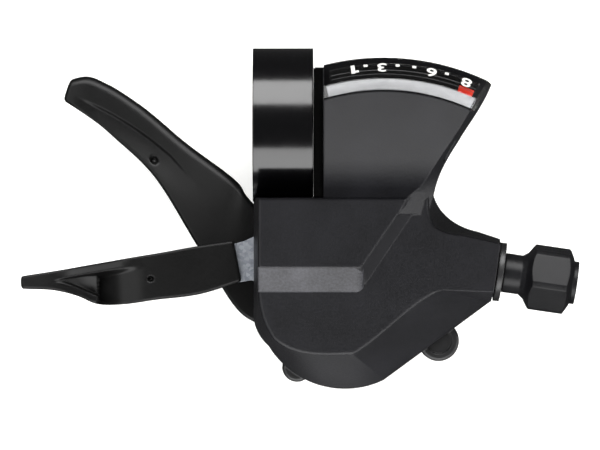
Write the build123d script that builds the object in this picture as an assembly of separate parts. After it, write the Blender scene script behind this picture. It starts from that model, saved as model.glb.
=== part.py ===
from build123d import *
from math import atan2, cos, degrees, hypot, pi, radians, sin, tan
import os

# Trigger gear shifter for the right end of a flat handlebar, in millimetres.
# Origin: centre of the clamp bore. +X runs along the bar to the cable side, +Y to the rider, +Z up.

# Handlebar clamp
bar_d = 22.2
bar_clearance = 0.1
clamp_width = 12.1
clamp_outer_r = 15.4
clamp_split = 1.6
ear_thick = 4.6
ear_drop = 8.6
bolt_r = 2.5
bolt_head_r = 4.2
bolt_head_h = 4.4
bolt_socket_af = 4.0

# Housing
parting_z = 1.0
floor_top_z = -5.5
floor_thick = 2.5
face_drop = 0.6
plate_rise = 3.0
plate_edge = 0.5
plate_corner = 1.6
face_edge = 0.7
wall = 1.6
fit_gap = 0.25
left_x = -5.9
rear_y = -14.7
hood_r = 17.9
arm_slope_x = 30.0
arm_end_x = 46.0
arm_past_x = arm_end_x + 2
arm_top_drop = 4.0
arm_under_z = -3.2

# Main axle and what is stacked on it
axle = (12.4, -35.1)
axle_r = 3.0
axle_tip_r = 1.2
axle_flange_r = 4.6
axle_flange_h = 0.6
running_gap = 0.05
side_gap = 0.1
bush_wall = 1.2
lever_top_z = -8.3
lever_bottom_z = -12.6
lever_core_top_z = -9.3
lever_core_thick = 2.0
lever_spring_wire = 0.8
lever_spring_turns = 3
washer_thick = 0.8
washer_r = 7.0
nut_af = 10.0
nut_h = 3.2

# Cable spool, ratchet and indicator gearing
gears = 8
step_deg = 16.7
cable_r = 10.0
spool_flange_r = 11.5
spool_bottom_z = -0.2
spool_top_z = 5.4
spool_hub_r = 5.0
cable_groove_r = 0.9
cable_end_r = 2.3
ratchet_tip_r = 9.0
ratchet_root_r = 7.6
ratchet_thick = 1.8
hold_first_deg = 150.0
feed_first_deg = 305.0
gear_module = 0.625
pinion_teeth = 8
gear_ratio = 4
gear_thick = 1.4
needle_z = 5.8
needle_thick = 1.2
clip_thick = 0.6

# Release trigger and holding pawl
trigger_pivot = (0.5, -19.5)
hold_pivot = (3.9, -25.0)
pivot_pin_r = 1.5
pawl_pin_r = 1.2
trigger_core_z = -2.4
trigger_core_thick = 1.8
hold_rest_gap = 0.3

# Feed pawl on the main lever
feed_radius = 13.2
feed_rest_deg = 262.0
feed_rest_gap = 1.3
lever_travel_deg = 40.0

# Gear display
dial_r = 48.0
strip_width = 4.0
strip_thick = 0.8
lens_bevel_width = 2.3
lens_bevel_drop = 1.3
lens_lip = 1.1
lens_wall = 1.1
lens_height = 7.0
display_left_x = 8.1
display_floor = 1.0
dial_ends_deg = (63.2, 104.23)
crest_lean_deg = 1.6
crest_drop = 1.6
pointer_deg = 68.7
pointer_len = 2.6
pointer_margin = 2.0
needle_arm_deg = 76.5
needle_bend_deg = 70.2
needle_elbow_r = 31.0
needle_width = 2.0

# Cable adjuster
cable_z = 2.6
cable_exit = (44.03, -29.59)
cable_tilt_deg = -8.3
collar_r = 5.9
collar_thick = 1.2
adjuster_thread_r = 2.5
adjuster_thread_len = 9.0
knob_r = 6.75
knob_af = 12.2
neck_r = 3.95
knob_start = 6.0
knob_end = 12.8
adjuster_len = 14.9
casing_r = 2.6

# Screws that hold the cover to the bracket, from below
screw_places = [(33.0, -23.2), (27.3, -36.3), (-0.7, -41.8)]
screw_r = 1.25
screw_head_r = 2.3
screw_head_h = 1.6
post_r = 2.2
post_hole_z = 6.5

# Round bosses at the front edge of the bracket: place, radius and top
small_boss = ((2.8, -48.7), 3.0, -1.6)
large_boss = ((31.3, -43.4), 4.1, -1.0)
boss_dish_r = 2.6
boss_edge = 0.7

# Moulding holes in the two levers: place and radius
thumb_hole = ((-26.0, -7.0), 0.65)
trigger_hole = ((-26.6, -30.9), 0.55)

# Sizes worked out from those above
bar_bore_r = bar_d / 2 + bar_clearance
floor_bottom_z = floor_top_z - floor_thick
bush_r = axle_r + bush_wall
spring_bottom_z = lever_bottom_z - 2 * side_gap - lever_spring_turns * lever_spring_wire
washer_top_z = spring_bottom_z - lever_spring_wire - side_gap
pinion_pitch_r = gear_module * pinion_teeth / 2
sector_pitch_r = pinion_pitch_r * gear_ratio
dial_centre = (axle[0] + sector_pitch_r - pinion_pitch_r, axle[1])
ratchet_z = floor_top_z + axle_flange_h + running_gap
ratchet_top_z = ratchet_z + ratchet_thick
display_under_r = bar_d / 2 + 0.5
display_inner_z = display_under_r + display_floor
face_z = display_inner_z - face_drop
plate_z = face_z + plate_rise
crest_foot_z = display_inner_z - crest_drop
dial_top_y = dial_centre[1] + dial_r
lens_band_r = dial_r - strip_width
lens_inner_r = lens_band_r - lens_bevel_width
lens_top_z = display_inner_z + lens_height
pointer_r = (dial_r - pointer_margin - pointer_len, dial_r - pointer_margin)
pointer_z = display_inner_z + 2.7
needle_mid_z = needle_z + needle_thick / 2
# Radius and height along the middle of the needle, as it climbs from the gear to the dial
needle_ramp = [
    (0, needle_mid_z),
    (13.5, needle_mid_z),
    (25, display_inner_z - 1.7),
    (35, display_inner_z + 0.8),
    (pointer_r[0] - 0.4, pointer_z),
    (dial_r + 1, pointer_z),
]
cable_axis = Plane(
    origin=(cable_exit[0], cable_exit[1], cable_z),
    x_dir=(0, 0, 1),
    z_dir=(cos(radians(cable_tilt_deg)), sin(radians(cable_tilt_deg)), 0),
)


def polar(centre, radius, angle):
    return (centre[0] + radius * cos(radians(angle)), centre[1] + radius * sin(radians(angle)))


def upright(centre, radius, low, high):
    return Pos(centre[0], centre[1], low) * Cylinder(
        radius, high - low, align=(Align.CENTER, Align.CENTER, Align.MIN)
    )


def along_bar(radius, low, high):
    return Pos((low + high) / 2, 0, 0) * Rot(0, 90, 0) * Cylinder(radius, high - low)


def on_cable(radius, low, high):
    return cable_axis * Pos(0, 0, (low + high) / 2) * Cylinder(radius, high - low)


def block(x, y, z):
    size = (x[1] - x[0], y[1] - y[0], z[1] - z[0])
    return Pos(sum(x) / 2, sum(y) / 2, sum(z) / 2) * Box(*size)


def prism(face, low, high):
    return extrude(Pos(0, 0, low) * face, high - low, dir=(0, 0, 1))


def polygon(points):
    return make_face(Polyline(*points, close=True))


# An outline is a list of runs, each a list of points that starts at a corner. A run of one point is a
# straight edge to the next corner, and the points after the first bend it into a smooth curve.
def inset(outline, amount):
    flat = [point for run in outline for point in run]
    moved = []
    for i, (x, y) in enumerate(flat):
        before = flat[i - 1]
        after = flat[(i + 1) % len(flat)]
        d1 = (x - before[0], y - before[1])
        d2 = (after[0] - x, after[1] - y)
        n1 = (-d1[1] / hypot(*d1), d1[0] / hypot(*d1))
        n2 = (-d2[1] / hypot(*d2), d2[0] / hypot(*d2))
        grow = amount / (1 + n1[0] * n2[0] + n1[1] * n2[1])
        moved.append((x + (n1[0] + n2[0]) * grow, y + (n1[1] + n2[1]) * grow))
    places = iter(moved)
    return [[next(places) for _ in run] for run in outline]


def outline_face(outline):
    edges = []
    for i, run in enumerate(outline):
        points = run + [outline[(i + 1) % len(outline)][0]]
        edges.append(Line(*points) if len(points) == 2 else Spline(*points))
    return make_face(edges)


def skin(low_outline, low, high_outline, high):
    faces = [Pos(0, 0, low) * outline_face(low_outline), Pos(0, 0, high) * outline_face(high_outline)]
    return loft(faces, ruled=True)


# Housing planform where cover and bracket meet, anticlockwise from the rear left corner
housing_outline = [
    [(left_x, rear_y)],
    [(left_x, -36.5), (-5.35, -41.0)],
    [polar(axle, hood_r, angle) for angle in (211.3, 232, 253, 275)],
    [polar(axle, hood_r, 296)],
    [(41.6, -35.5)],
    [(arm_end_x, -35.6)],
    [(arm_end_x, -23.7)],
    [(39.0, -21.4), (34.6, -19.7), (31.6, -17.0)],
    [(30.1, -13.6)],
]
# Edge of the cover's lower face, run for run with the planform
face_outline = [
    [(-4.9, rear_y)],
    [(-4.9, -34.0), (-3.9, -38.8)],
    [(-2.1, -42.5), (1.7, -44.8), (8.3, -45.8)],
    [(13.8, -45.7), (17.5, -43.2), (24.5, -37.3)],
    [(31.2, -33.0)],
    [(arm_end_x, -32.8)],
    [(arm_end_x, -24.85)],
    [(35.0, -22.2), (30.5, -20.7)],
    [(29.0, rear_y)],
]
plate_foot = [[(-5.1, rear_y)], [(-5.1, -33.3)], [(16.6, -33.1)], [(25.5, -19.9)], [(29.3, rear_y)]]
plate_top = [[(-4.9, rear_y)], [(-4.9, -28.5)], [(15.4, -28.5)], [(24.0, -15.9)], [(24.3, rear_y)]]
display_outline = [
    [(display_left_x, -18.0)],
    [(29.0, -18.0)],
    [(30.1, -13.6), (31.5, -9.4), (35.8, -2.2)],
    [polar(dial_centre, dial_r, angle) for angle in (dial_ends_deg[0], 75, 90)],
    [polar(dial_centre, dial_r, dial_ends_deg[1])],
]
# The display's side leans in from that outline to this edge, run for run, at the top of the lens
display_crest = [
    [(display_left_x, -18.0)],
    [(14.0, -18.0)],
    [(16.8, -13.4), (26.0, -9.4), (32.8, -2.2)],
    [polar(dial_centre, dial_r, angle) for angle in (dial_ends_deg[0] + crest_lean_deg, 76, 90)],
    [polar(dial_centre, dial_r, dial_ends_deg[1])],
]
# Section of the display's dished face from the plate to the rider: y, and height above the display's floor
dish = [
    (-18.0, 2.3), (-16.2, 2.35), (-14.7, 2.0), (-12.4, 1.0), (-9.5, 1.1), (-5.0, 2.5), (0.0, 4.1), (5.0, 5.7),
    (dial_top_y + 1.1, 8.0),
]


def dish_slab(drop, under_r, low_x, high_x):
    top = [(y, display_inner_z + rise - drop) for y, rise in dish]
    left = (dish[0][0], parting_z)
    foot = (-((under_r**2 - parting_z**2) ** 0.5), parting_z)
    crown = (0.0, under_r)
    tip = (dish[-1][0], under_r)
    edges = [
        Spline(*top),
        Line(top[-1], tip),
        Line(tip, crown),
        ThreePointArc(crown, (-under_r * cos(radians(45)), under_r * sin(radians(45))), foot),
        Line(foot, left),
        Line(left, top[0]),
    ]
    return extrude(Plane.YZ.offset(low_x) * make_face(edges), high_x - low_x)


def display_form(depth):
    foot = inset(display_outline, depth)
    upper = skin(foot, crest_foot_z, inset(display_crest, depth), lens_top_z + 1)
    return prism(outline_face(foot), parting_z, crest_foot_z) + upper


# The cover's outside at depth 0, with its edges rounded, or the room inside walls of that depth
def cover_form(depth):
    body = skin(inset(housing_outline, depth), parting_z, inset(face_outline, depth), face_z - depth)
    if not depth:
        body = fillet(body.faces().sort_by(Axis.Z)[-1].edges(), face_edge)
    arm_end_z = face_z - arm_top_drop
    slope = polygon([
        (arm_slope_x, face_z - depth),
        (arm_past_x, arm_end_z - depth),
        (arm_past_x, lens_top_z),
        (arm_slope_x, lens_top_z),
    ])
    body -= extrude(Plane.XZ.offset(10) * slope, 60)
    keep = [0, 1, 2, 4] if depth else range(5)
    foot = inset([plate_foot[i] for i in keep], depth)
    top = inset([plate_top[i] for i in keep], depth)
    raised = skin(foot, face_z - 2 * depth - 1, top, plate_z - depth)
    if not depth:
        raised = fillet(raised.edges().sort_by_distance((16.0, -30.8, (face_z + plate_z) / 2))[0], plate_corner)
        raised = fillet(raised.faces().sort_by(Axis.Z)[-1].edges(), plate_edge)
    display = dish_slab(depth, display_under_r + (display_floor if depth else 0), 0, arm_end_x)
    return body + raised + (display & display_form(depth))


def end_trim(low):
    return cable_axis * Pos(0, 0, low + 10) * Box(40, 40, 20)


def upper_cover():
    outer = cover_form(0)
    posts = Part() + [upright(place, post_r, parting_z, plate_z) for place in screw_places]
    posts += upright(dial_centre, post_r + 0.4, needle_z + needle_thick + 0.4, plate_z)
    cover = outer - cover_form(wall) + (posts & outer)
    shoulder = dish_slab(1.2, display_under_r, clamp_width / 2 + fit_gap, display_left_x + wall / 4)
    cover += shoulder & block((0, 10), (rear_y - 1, 11.0), (parting_z + 1, 30))
    lens_room = upright(dial_centre, dial_r + 6, display_inner_z, lens_top_z + 6)
    lens_room -= upright(dial_centre, lens_inner_r - fit_gap, display_inner_z, lens_top_z + 6)
    lens_side = dial_centre[0] + dial_r
    cover -= lens_room & block((display_left_x, lens_side), (-5, dial_top_y + 6), (display_inner_z, lens_top_z + 6))
    cover -= along_bar(clamp_outer_r + fit_gap, left_x - 2, clamp_width / 2 + fit_gap)
    cover -= along_bar(display_under_r, -20, 60)
    for place in screw_places:
        cover -= upright(place, screw_r, parting_z, post_hole_z)
    cover -= upright(dial_centre, pawl_pin_r, 0, face_z - wall)
    cover -= end_trim(-collar_thick - fit_gap)
    cover -= on_cable(collar_r - wall, -20, 5)
    under = needle_thick / 2 + fit_gap
    way = polygon([(r, z - under) for r, z in needle_ramp[2:4]] + [(r, z) for r, z in reversed(needle_ramp[2:4])])
    needle_way = Pos(*dial_centre, 0) * revolve(Plane.XZ * way, Axis.Z)
    cover -= needle_way & block((10.3, 35.3), (-7.3, 0.4), (0, 20))
    return cover


def sector_slot(radius, half, start, end, low, high):
    ring = upright(axle, radius + half, low, high) - upright(axle, radius - half, low, high)
    reach = 3 * radius
    wedge = polygon([axle, polar(axle, reach, start), polar(axle, reach, (start + end) / 2), polar(axle, reach, end)])
    slot = ring & prism(wedge, low, high)
    for angle in (start, end):
        slot += upright(polar(axle, radius, angle), half, low, high)
    return slot


def bracket():
    shell = prism(outline_face(housing_outline), floor_bottom_z, parting_z)
    for place, radius, top in (small_boss, large_boss):
        boss = upright(place, radius, floor_bottom_z, top)
        boss = fillet(boss.edges().group_by(Axis.Z)[-1], boss_edge)
        shell += boss
    shell -= upright(large_boss[0], boss_dish_r, large_boss[2] - 0.4, parting_z)
    lower_slope = polygon(
        [
            (arm_slope_x, floor_bottom_z - 1),
            (arm_slope_x, floor_bottom_z),
            (arm_past_x, arm_under_z),
            (arm_past_x, floor_bottom_z - 1),
        ]
    )
    shell -= extrude(Plane.XZ.offset(10) * lower_slope, 60)
    shell -= end_trim(-collar_thick - fit_gap)
    half = clamp_width / 2
    neck = block((left_x, half), (rear_y - wall, -bar_bore_r), (floor_bottom_z, parting_z))
    ear_y = clamp_split / 2 + ear_thick
    ears = block((-half, half), (-ear_y, ear_y), (-clamp_outer_r - ear_drop, -bar_bore_r))
    casting = shell + along_bar(clamp_outer_r, -half, half) + neck + ears
    casting += on_cable(collar_r, -collar_thick, 0)
    casting -= prism(outline_face(inset(housing_outline, wall)), floor_top_z, parting_z + 1) - neck
    casting += on_cable(collar_r - wall - fit_gap, -adjuster_thread_len - 1, 0)
    casting -= along_bar(bar_bore_r, -20, 20)
    casting -= block((-10, 10), (-clamp_split / 2, clamp_split / 2), (-40, 0))
    bolt_z = -clamp_outer_r - ear_drop / 2
    casting -= Pos(0, 0, bolt_z) * Rot(90, 0, 0) * Cylinder(bolt_r, 4 * ear_y)
    casting -= on_cable(adjuster_thread_r + running_gap, -30, 5)
    casting -= block((left_x - 2, left_x + wall + 0.5), (-34.6, -17.0), (trigger_core_z - 1.2, parting_z + 1))
    casting -= upright(axle, axle_r, -20, 0)
    slot_ends = (feed_rest_deg - 1, feed_rest_deg + lever_travel_deg + 1)
    casting -= sector_slot(feed_radius, pawl_pin_r + 0.4, *slot_ends, floor_bottom_z - 1, floor_top_z + 1)
    casting -= upright(trigger_pivot, pivot_pin_r, floor_bottom_z, floor_top_z)
    casting -= upright(hold_pivot, pawl_pin_r, floor_bottom_z, floor_top_z)
    for place in screw_places:
        casting += upright(place, post_r, floor_bottom_z + 0.6, parting_z)
        casting -= upright(place, screw_r + side_gap, -20, parting_z + 1)
        casting -= upright(place, screw_head_r + side_gap, -20, floor_bottom_z + 0.6 + screw_head_h)
    return casting


def clamp_bolt():
    ear_y = clamp_split / 2 + ear_thick
    bolt = Pos(0, 0, ear_y) * Cylinder(bolt_head_r, bolt_head_h, align=(Align.CENTER, Align.CENTER, Align.MIN))
    bolt = fillet(bolt.edges().group_by(Axis.Z)[-1], 0.5)
    bolt += Cylinder(bolt_r - running_gap, 2 * ear_y)
    socket = RegularPolygon(bolt_socket_af / 2, 6, major_radius=False)
    bolt -= extrude(Pos(0, 0, ear_y + bolt_head_h - 2.4) * socket, 5)
    return Pos(0, 0, -clamp_outer_r - ear_drop / 2) * Rot(-90, 0, 0) * bolt


def cover_screws():
    screws = []
    for place in screw_places:
        head_low = floor_bottom_z + 0.6
        screw = upright(place, screw_head_r, head_low, head_low + screw_head_h)
        screw += upright(place, screw_r - running_gap, head_low, post_hole_z - 0.5)
        screw -= Pos(place[0], place[1], head_low) * Box(3.2, 0.7, 1.6)
        screw -= Pos(place[0], place[1], head_low) * Box(0.7, 3.2, 1.6)
        screws.append(screw)
    return Compound(screws)


def main_axle():
    stud = upright(axle, axle_r, washer_top_z - washer_thick - nut_h - 1, spool_top_z - 0.4)
    stud += upright(axle, axle_flange_r, floor_top_z, floor_top_z + axle_flange_h)
    tip_top = needle_z + gear_thick + clip_thick + 0.7
    stud += upright(axle, axle_tip_r, spool_top_z - 0.4, tip_top)
    groove = upright(axle, axle_tip_r, tip_top - 0.6 - clip_thick, tip_top - 0.6)
    groove -= upright(axle, axle_tip_r - 0.35, -20, 20)
    return stud - groove


def axle_clip():
    tip_top = needle_z + gear_thick + clip_thick + 0.7
    low = tip_top - 0.6 - clip_thick + running_gap
    clip = upright(axle, 2.6, low, low + clip_thick - 2 * running_gap)
    clip -= upright(axle, axle_tip_r - 0.3, -20, 20)
    return clip - block((axle[0], axle[0] + 5), (axle[1] - 0.8, axle[1] + 0.8), (low - 1, low + 2))


def lever_bush():
    return upright(axle, bush_r, washer_top_z, floor_bottom_z) - upright(axle, axle_r, -30, 20)


def axle_washer():
    return upright(axle, washer_r, washer_top_z - washer_thick, washer_top_z) - upright(axle, axle_r, -30, 20)


def axle_nut():
    low = washer_top_z - washer_thick - nut_h
    blank = Pos(axle[0], axle[1], low) * extrude(RegularPolygon(nut_af / 2, 6, major_radius=False), nut_h)
    crown = upright(axle, nut_af * 0.56, low, low + nut_h)
    crown = chamfer(crown.edges().group_by(Axis.Z)[0], 0.8)
    return (blank & crown) - upright(axle, axle_r, -30, 20)


def coil(centre, mean_r, wire, low, turns):
    pitch = wire * 1.02
    path = Pos(centre[0], centre[1], low + wire / 2) * Helix(pitch=pitch, height=pitch * turns, radius=mean_r)
    start = Plane(origin=path @ 0, z_dir=path % 0)
    return sweep(start * Circle(wire / 2 * 0.97), path, is_frenet=True)


def lever_spring():
    return coil(axle, bush_r + 0.9, lever_spring_wire, spring_bottom_z - lever_spring_wire, lever_spring_turns)


def trigger_spring():
    low = floor_top_z + 0.15
    return coil(trigger_pivot, pivot_pin_r + 0.6, 0.6, low, 3)


def ratchet_wheel():
    wheel = upright(axle, ratchet_tip_r, ratchet_z, ratchet_top_z) - upright(axle, axle_r + running_gap, -20, 20)
    for first in (hold_first_deg, feed_first_deg):
        for gear in range(gears - 1):
            wall_deg = first - step_deg * gear
            gap = polygon([
                polar(axle, ratchet_root_r, wall_deg),
                polar(axle, ratchet_root_r, wall_deg - 2),
                polar(axle, ratchet_tip_r + 1, wall_deg - 15),
                polar(axle, ratchet_tip_r + 1, wall_deg),
            ])
            wheel -= prism(gap, ratchet_z, ratchet_top_z)
    for angle in (0, 180):
        wheel -= Pos(*polar(axle, 4.2, angle), 0) * Box(1.6, 3.0, 40)
    return wheel


def gear_tooth(pitch_r, inward):
    addendum = 0.45
    dedendum = 0.55
    half = pi * gear_module / 4 - 0.14
    slope = tan(radians(24))
    root = pitch_r + (dedendum if inward else -dedendum)
    tip = pitch_r + (-addendum if inward else addendum)
    root_half = half + slope * dedendum
    tip_half = half - slope * addendum
    sunk = root + (0.3 if inward else -0.3)
    return polygon([(sunk, -root_half), (root, -root_half), (tip, -tip_half), (tip, tip_half), (root, root_half),
                    (sunk, root_half)])


def cable_spool():
    groove = Pos(cable_r, cable_z) * Circle(cable_groove_r)
    section = Polyline(
        (0.5, spool_bottom_z), (spool_flange_r, spool_bottom_z), (spool_flange_r, cable_z - cable_groove_r),
        (cable_r, cable_z - cable_groove_r), (cable_r, cable_z + cable_groove_r),
        (spool_flange_r, cable_z + cable_groove_r), (spool_flange_r, spool_top_z), (0.5, spool_top_z), close=True,
    )
    spool = revolve(Plane.XZ * (make_face(section) - groove), Axis.Z)
    spool = Pos(axle[0], axle[1], 0) * spool
    spool += upright(axle, spool_hub_r, ratchet_top_z, spool_bottom_z)
    pinion = upright((0, 0), pinion_pitch_r - 0.55, spool_top_z, needle_z + gear_thick)
    for i in range(pinion_teeth):
        tooth = Rot(0, 0, 360 / pinion_teeth * (i + 0.5)) * gear_tooth(pinion_pitch_r, False)
        pinion += prism(tooth, spool_top_z, needle_z + gear_thick)
    spool += Pos(axle[0], axle[1], 0) * pinion
    for angle in (0, 180):
        key = Pos(*polar(axle, 4.2, angle), ratchet_top_z) * Box(1.5, 2.9, 2 * (ratchet_thick - side_gap))
        spool += key
    spool -= upright(axle, axle_r + running_gap, -20, spool_top_z - 0.3)
    spool -= upright(axle, axle_tip_r + running_gap, -20, 20)
    pocket = polar(axle, cable_r - 1.2, 200)
    return spool - upright(pocket, cable_end_r, cable_z - 1.4, spool_top_z + 1)


def indicator_needle():
    hub = dial_centre
    top = needle_z + needle_thick
    rim_r = sector_pitch_r + 0.55
    frame = upright(hub, rim_r + 1.6, needle_z, top) - upright(hub, rim_r, needle_z, top)
    window = (120.0, 212.0)
    fan = polygon([hub] + [polar(hub, 30, angle) for angle in (window[0] - 6, 165, window[1] + 2)])
    frame &= prism(fan, needle_z, top)
    for angle in window:
        frame += prism(Pos(*hub) * Rot(0, 0, angle) * Pos(6, 0) * Rectangle(12, 1.8), needle_z, top)
    pitch_deg = 360 / (pinion_teeth * gear_ratio)
    for i in range(-4, 1):
        tooth = Pos(*hub) * Rot(0, 0, 180 + pitch_deg * i) * gear_tooth(sector_pitch_r, True)
        frame += prism(tooth, needle_z, top)
    elbow = polar(hub, needle_elbow_r, needle_arm_deg)
    inner = polar(hub, pointer_r[0] - 1.5, needle_bend_deg)
    tip = polar(hub, pointer_r[1], pointer_deg)
    arm = Part()
    for start, end in ((hub, elbow), (elbow, inner), (inner, tip)):
        run = atan2(end[1] - start[1], end[0] - start[0])
        length = hypot(end[0] - start[0], end[1] - start[1])
        strip = Rot(0, 0, degrees(run)) * Pos(length / 2, 0) * Rectangle(length, needle_width)
        arm += prism(Pos(*start) * strip, needle_z, lens_top_z)
        arm += upright(start, needle_width / 2, needle_z, lens_top_z)
    half = needle_thick / 2 - side_gap
    low = [(r, z - half) for r, z in needle_ramp]
    high = [(r, z + half) for r, z in reversed(needle_ramp)]
    aim = radians((needle_arm_deg + pointer_deg) / 2)
    rise = Plane(origin=(hub[0], hub[1], 0), x_dir=(cos(aim), sin(aim), 0), z_dir=(sin(aim), -cos(aim), 0))
    slab = extrude(rise * polygon(low + high), 12, both=True)
    needle = frame + upright(hub, 2.6, needle_z, top) + (arm & slab)
    return needle - upright(hub, pawl_pin_r + running_gap, 0, 20)


def indicator_pin():
    return upright(dial_centre, pawl_pin_r, needle_z, face_z - wall)


def display_lens():
    hub = (dial_centre[0], dial_centre[1])
    edge_z = lens_top_z - lens_bevel_drop
    lip_z = edge_z - lens_lip
    shell = [
        (lens_inner_r, lip_z), (lens_inner_r, edge_z), (lens_band_r, lens_top_z), (dial_r + 1, lens_top_z),
        (dial_r + 1, display_inner_z), (lens_inner_r, display_inner_z),
    ]
    room = [
        (lens_inner_r - 1, lip_z), (lens_inner_r + lens_wall, lip_z), (lens_band_r, lens_top_z - lens_wall),
        (dial_r - lens_wall, lens_top_z - lens_wall), (dial_r - lens_wall, display_inner_z - 1),
        (lens_inner_r - 1, display_inner_z - 1),
    ]
    centre = Pos(hub[0], hub[1], 0)
    solid = centre * revolve(Plane.XZ * polygon(shell), Axis.Z) & display_form(0)
    cavity = centre * revolve(Plane.XZ * polygon(room), Axis.Z) & display_form(lens_wall)
    return solid - cavity


def dial_strip():
    ring = upright(dial_centre, dial_r, display_inner_z, display_inner_z + strip_thick)
    ring -= upright(dial_centre, lens_inner_r + 0.6, display_inner_z - 1, lens_top_z)
    return ring & display_form(lens_wall + fit_gap)


def trigger_core():
    top = trigger_core_z + trigger_core_thick
    shape = polygon([
        (-15.0, -25.2), (-8.0, -23.4), (-2.6, -21.0), (-1.5, -17.5), (2.5, -17.5), (3.0, -21.0), (0.6, -26.0),
        (1.0, -30.2), (5.4, -30.4), (5.4, -33.9), (0.0, -33.8), (-6.3, -31.2), (-15.0, -32.6),
    ])
    plate = prism(fillet(shape.vertices(), 0.8), trigger_core_z, top)
    plate += upright(trigger_pivot, 3.0, trigger_core_z, top)
    plate -= upright(polar(hold_pivot, 6.6, 262), 1.9, -20, 20)
    return plate - upright(trigger_pivot, pivot_pin_r + running_gap, -20, 20)


def blade(stations):
    sections = []
    for high, low, top, bottom, corner in stations:
        across = Vector(high[0] - low[0], high[1] - low[1], 0)
        middle = ((high[0] + low[0]) / 2, (high[1] + low[1]) / 2, (top + bottom) / 2)
        frame = Plane(origin=middle, x_dir=across, z_dir=(across.Y, -across.X, 0))
        sections.append(frame * RectangleRounded(across.length, top - bottom, corner))
    return loft(sections)


def trigger_grip():
    grip = blade([
        ((-9.9, -23.3), (-8.3, -31.4), 1.2, -4.2, 0.9),
        ((-17.5, -24.4), (-16.7, -34.0), 1.2, -4.2, 0.9),
        ((-30.4, -26.8), (-33.5, -36.3), 1.0, -4.4, 1.0),
        ((-37.6, -28.2), (-38.4, -35.6), 2.0, -6.6, 1.5),
        ((-44.5, -29.2), (-44.9, -33.5), 2.8, -8.0, 1.3),
        ((-52.0, -30.4), (-52.0, -32.5), 1.6, -6.6, 0.9),
    ])
    return grip - trigger_core() - upright(trigger_hole[0], trigger_hole[1], -20, 20)


def lever_core():
    top = lever_core_top_z
    low = top - lever_core_thick
    shape = polygon([(-12.0, -19.5), (6.0, -26.5), (14.0, -26.0), (16.0, -40.0), (8.0, -43.0), (-9.0, -31.0)])
    plate = prism(fillet(shape.vertices(), 2.0), low, top)
    pivot = polar(axle, feed_radius, feed_rest_deg)
    eye_r = 2.4
    foot = [(pivot[0] + eye_r, pivot[1]), (pivot[0] - eye_r, pivot[1])]
    plate += prism(polygon([polar(axle, 6, 180), polar(axle, 6, 340)] + foot), low, top)
    plate += upright(pivot, eye_r, low, top) + upright(axle, 7.5, low, top)
    plate -= upright(pivot, pawl_pin_r, -30, 20)
    return plate - upright(axle, bush_r + running_gap, -30, 20)


def thumb_lever():
    lever = blade([
        ((0.0, -21.5), (-3.0, -40.5), lever_top_z, lever_bottom_z, 1.0),
        ((-6.4, -15.4), (-9.2, -37.6), lever_top_z, lever_bottom_z, 1.2),
        ((-9.2, -11.5), (-16.6, -25.4), lever_top_z - 0.4, lever_bottom_z - 0.4, 1.4),
        ((-20.1, -3.1), (-26.6, -9.6), -11.4, -15.8, 1.5),
        ((-29.2, 4.2), (-33.4, -3.0), -12.4, -17.4, 1.5),
        ((-38.4, 9.4), (-40.2, 2.3), -12.8, -18.4, 1.5),
        ((-42.3, 8.8), (-43.5, 5.4), -13.4, -18.2, 1.2),
    ])
    low = lever_bottom_z + 0.5
    high = lever_top_z - 0.4
    lever += upright(axle, 9.0, low, high)
    lever += prism(polygon([(12.4, -27.0), (-4.0, -22.5), (-5.5, -37.0), (12.4, -43.5)]), low, high)
    lever -= upright(thumb_hole[0], thumb_hole[1], -30, 0)
    return lever - lever_core() - upright(axle, bush_r + running_gap, -30, 20)


def feed_pin():
    low = lever_core_top_z - lever_core_thick
    return upright(polar(axle, feed_radius, feed_rest_deg), pawl_pin_r, low, ratchet_top_z + 0.4)


def pawl(pivot, tip):
    run = degrees(atan2(tip[1] - pivot[1], tip[0] - pivot[0]))
    length = hypot(tip[0] - pivot[0], tip[1] - pivot[1])
    eye_r = 2.2
    beak = polygon([
        (0, -eye_r), (length - 2.6, -1.6), (length, -0.9), (length, 0), (length - 2.4, 1.0), (0, eye_r),
    ])
    plate = prism(Pos(*pivot) * Rot(0, 0, run) * beak, ratchet_z, ratchet_top_z)
    plate += upright(pivot, eye_r, ratchet_z, ratchet_top_z)
    return plate - upright(pivot, pawl_pin_r + running_gap, -20, 20)


def hold_pawl():
    tip = polar(axle, ratchet_tip_r + hold_rest_gap, 167)
    body = pawl(hold_pivot, tip)
    lug = polar(hold_pivot, 6.6, 262)
    return body + upright(lug, 0.8, ratchet_z, trigger_core_z + trigger_core_thick)


def feed_pawl():
    pivot = polar(axle, feed_radius, feed_rest_deg)
    return pawl(pivot, polar(axle, ratchet_tip_r + feed_rest_gap, feed_rest_deg + 36))


def trigger_pin():
    return upright(trigger_pivot, pivot_pin_r, floor_bottom_z, trigger_core_z + trigger_core_thick + 0.5)


def pawl_pin():
    return upright(hold_pivot, pawl_pin_r, floor_bottom_z, ratchet_top_z + 0.4)


def cable_adjuster():
    section = [(0, -adjuster_thread_len), (adjuster_thread_r, -adjuster_thread_len), (adjuster_thread_r, fit_gap),
               (neck_r, fit_gap), (neck_r, 3.6), (neck_r + 0.7, 4.6), (knob_r, knob_start), (knob_r, knob_end),
               (4.9, knob_end + 1.0), (4.3, knob_end + 1.2), (4.3, adjuster_len), (0, adjuster_len)]
    barrel = revolve(Plane.XZ * polygon(section), Axis.Z)
    flats = extrude(RegularPolygon(knob_af / 2, 6, major_radius=False), 60, both=True)
    barrel &= Rot(0, 0, 12) * flats
    barrel -= Cylinder(1.2, 80)
    barrel -= Pos(0, 0, adjuster_len) * Cylinder(casing_r, 2 * 6.0)
    return cable_axis * barrel


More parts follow.
